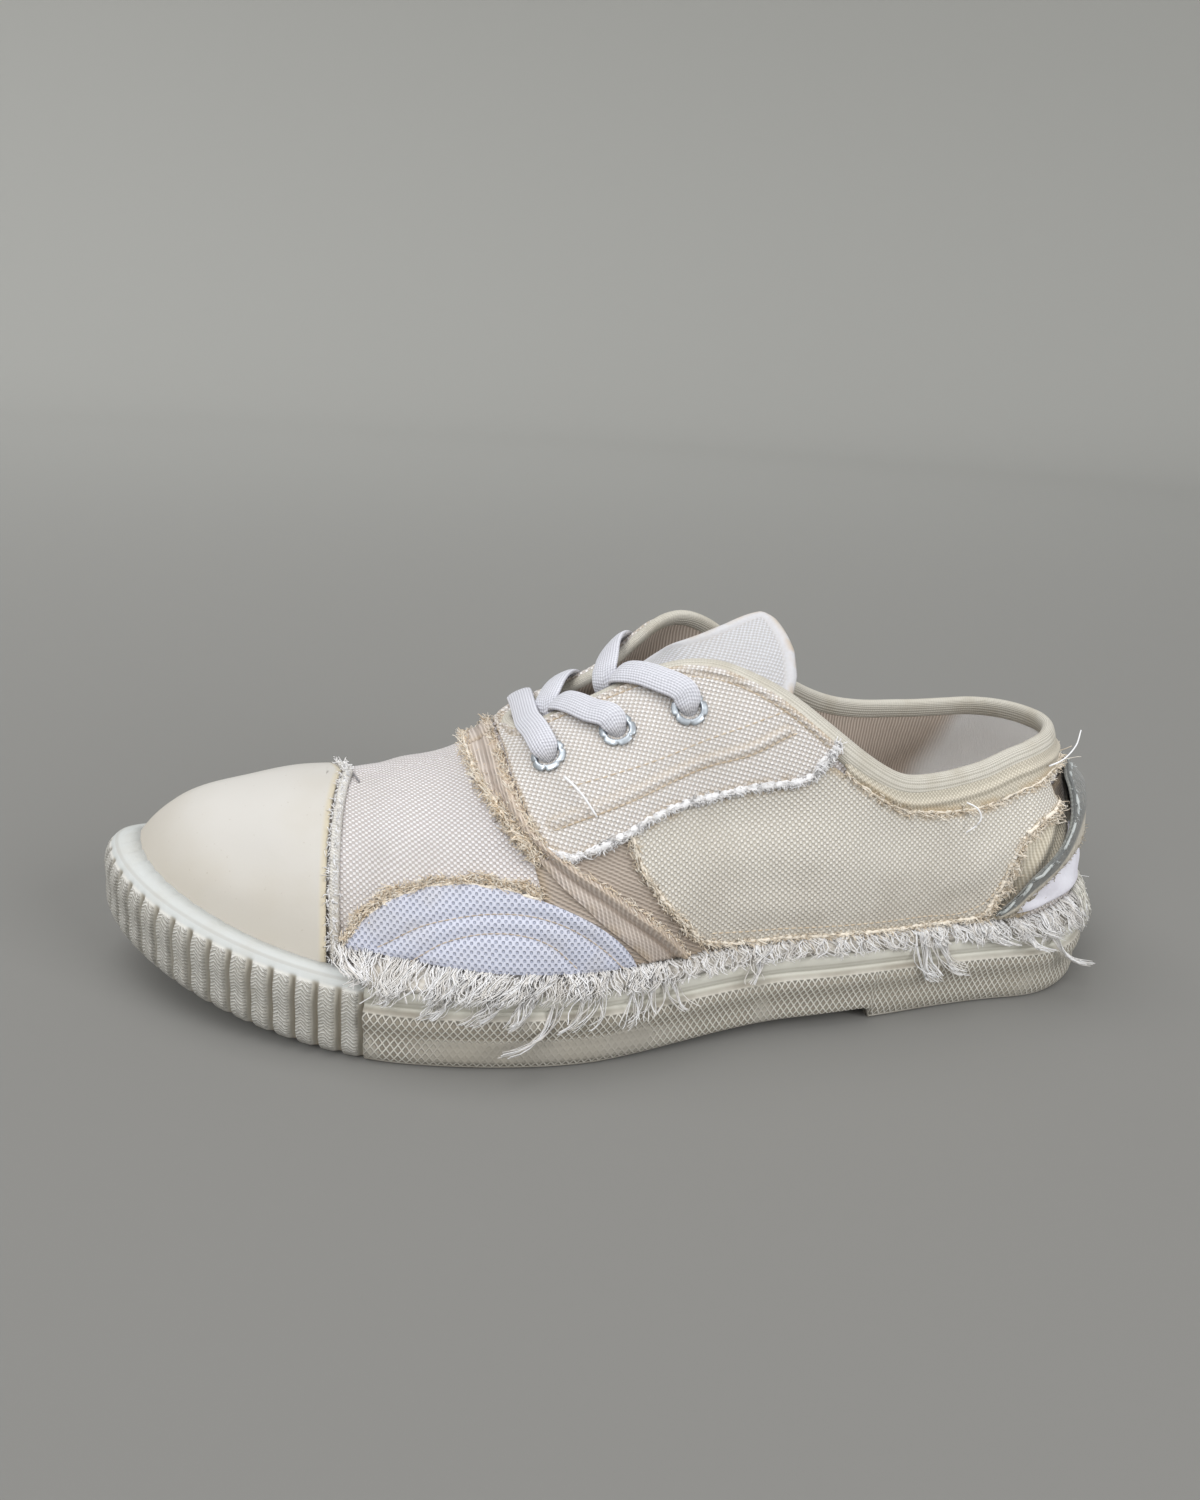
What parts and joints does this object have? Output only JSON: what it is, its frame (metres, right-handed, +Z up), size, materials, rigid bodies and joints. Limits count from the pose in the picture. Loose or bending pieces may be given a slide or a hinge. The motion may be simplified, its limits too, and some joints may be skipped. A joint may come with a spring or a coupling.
{
  "type": "worn canvas sneaker",
  "caption": "Worn low canvas sneaker with a rubber toe cap, ribbed bumper, frayed panels, lobed eyelets and a flat lace.",
  "frame": {"origin": "on the floor plane under the middle of the heel", "axes": "+X from toe to heel, +Y towards the inner side of the foot, +Z up from the floor"},
  "size_m": [0.3006, 0.1091, 0.1089],
  "materials": {
    "rubber_white": "matt, worn and greyed, diamond-moulded side",
    "rubber_cream": "matt, yellowed, scuffed",
    "rubber_tread": "matt, worn",
    "canvas": "coarse basket weave, soiled",
    "canvas_pale": "plain weave, soiled and creased",
    "twill": "frayed twill",
    "patch_cloth": "smooth, creased",
    "binding_tape": "ribbed tape, worn",
    "grey_felt": "felted edge, frayed",
    "fray": "loose frayed threads",
    "footbed": "matted, dark",
    "lace": "flat woven lace",
    "eyelet_metal": "dull, lobed rim"
  },
  "bodies": {
    "root": {"binding": "binding_tape", "cap_edge_strip": "fray", "collar_band": "canvas_pale", "eyelet_inner_1": "eyelet_metal", "eyelet_inner_2": "eyelet_metal", "eyelet_inner_3": "eyelet_metal", "eyelet_outer_1": "eyelet_metal", "eyelet_outer_2": "eyelet_metal", "eyelet_outer_3": "eyelet_metal", "eyestay_inner": "canvas_pale", "eyestay_outer": "canvas_pale", "foxing": "rubber_white", "fringe_inner": "fray", "fringe_outer": "fray", "heel_flap": "grey_felt", "heel_patch": "patch_cloth", "insole": "footbed", "lace_bar": "lace", "lace_crossing_2": "lace", "lace_crossing_3": "lace", "outsole": "rubber_tread", "patch_inner": "patch_cloth", "patch_outer": "patch_cloth", "quarter_inner": "canvas", "quarter_outer": "canvas", "seam_strip_inner": "twill", "seam_strip_outer": "twill", "toe_bumper": "rubber_white", "toe_cap": "rubber_cream", "tongue": "canvas_pale", "upper": "canvas"}
  },
  "joints": []
}
